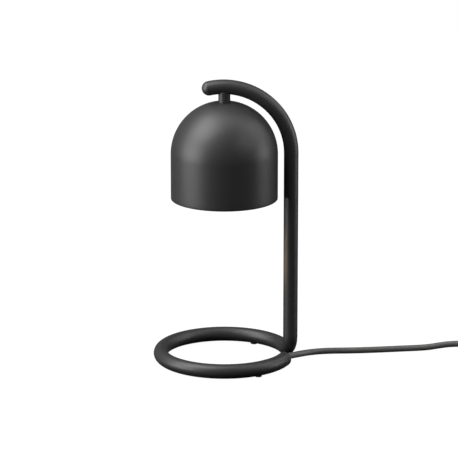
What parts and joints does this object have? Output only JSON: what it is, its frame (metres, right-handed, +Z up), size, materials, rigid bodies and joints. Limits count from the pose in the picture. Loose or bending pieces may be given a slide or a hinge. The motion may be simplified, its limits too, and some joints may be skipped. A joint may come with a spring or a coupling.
{
  "type": "candle warmer lamp",
  "caption": "Table lamp that melts a jar candle from above: bent-tube ring base and arched arm, dome shade over a halogen bulb, mains lead with an in-line dimmer and timer.",
  "frame": {"origin": "on the table, at the centre of the ring base and under the shade's axis", "axes": "+Z up; +X from the shade's axis towards the upright; the front faces -Y"},
  "size_m": [0.517, 0.157, 0.3178],
  "materials": {
    "powder_coat": "matte charcoal powder coat, fine texture",
    "black_moulding": "satin moulded nylon",
    "soft_rubber": "matte rubber",
    "cord_jacket": "matte PVC jacket",
    "wire_sleeve": "heat-proof sleeve",
    "plated_steel": "zinc plated",
    "ceramic": null,
    "contact_metal": "bright",
    "pin_metal": "bright",
    "mirrored_glass": "facetted aluminised glass",
    "clear_glass": "clear",
    "tungsten": "drawn wire",
    "circuit_board": "solder resist",
    "dark_package": "moulded epoxy",
    "button_cap": "satin",
    "clear_plastic": "clear moulded rod",
    "zinc_alloy": "die cast"
  },
  "bodies": {
    "lamp": {"frame_tube": "powder_coat", "arm_end_cap": "powder_coat", "ring_end_bushing": "black_moulding", "cord_grip": "plated_steel", "jacket_in_ring": "cord_jacket", "lead_wires": "wire_sleeve", "crimp_sleeves": "plated_steel", "holder_tails": "wire_sleeve", "shade_stem": "powder_coat", "threaded_nipple": "plated_steel", "shade_shell": "powder_coat", "shade_washer": "plated_steel", "lock_nuts": "plated_steel", "holder_bracket": "plated_steel", "holder_screws": "plated_steel", "lamp_holder": "ceramic", "holder_contacts": "contact_metal", "foot_front": "soft_rubber", "foot_back": "soft_rubber", "foot_left": "soft_rubber", "control_base": "black_moulding", "control_cover": "black_moulding", "control_screws": "plated_steel", "cord_clamps": "black_moulding", "clamp_screws": "plated_steel", "relief_lamp_side": "soft_rubber", "relief_plug_side": "soft_rubber", "jackets_in_control": "cord_jacket", "control_cores": "wire_sleeve", "control_board": "circuit_board", "potentiometer": "zinc_alloy", "tactile_switches": "dark_package", "indicator_leds": "clear_plastic", "light_pipes": "clear_plastic", "triac": "dark_package", "filter_parts": "dark_package", "cord_lamp_run": "cord_jacket", "cord_control_run": "cord_jacket", "cord_coil": "cord_jacket", "cord_plug_run": "cord_jacket", "coil_tie": "black_moulding", "plug_relief": "soft_rubber", "jacket_in_plug": "cord_jacket", "plug_body": "black_moulding", "plug_blades": "contact_metal"},
    "bulb": {"bulb_base": "ceramic", "bulb_pins": "pin_metal", "bulb_reflector": "mirrored_glass", "bulb_lens": "clear_glass", "bulb_capsule": "clear_glass", "bulb_filament": "tungsten"},
    "dial": {"dimmer_shaft": "zinc_alloy", "dimmer_dial": "black_moulding"},
    "power": {"power_button": "button_cap", "power_plunger": "dark_package"},
    "timer": {"timer_button": "button_cap", "timer_plunger": "dark_package"}
  },
  "joints": [
    {"name": "bulb_twist", "type": "hinge", "parent": "lamp", "child": "bulb", "pos_m": [0, 0, 0.2605], "axis": [0, 0, -1], "range_deg": [0, 35]},
    {"name": "dial_turn", "type": "hinge", "parent": "lamp", "child": "dial", "pos_m": [0.308, 0.027, 0.0184], "axis": [0, 0, 1], "range_deg": [-140, 140]},
    {"name": "power_press", "type": "slide", "parent": "lamp", "child": "power", "axis": [0, 0, -1], "range_m": [0, 0.0005], "stiffness_N_per_m": 300, "springref_m": -0.001},
    {"name": "timer_press", "type": "slide", "parent": "lamp", "child": "timer", "axis": [0, 0, -1], "range_m": [0, 0.0005], "stiffness_N_per_m": 300, "springref_m": -0.001}
  ]
}
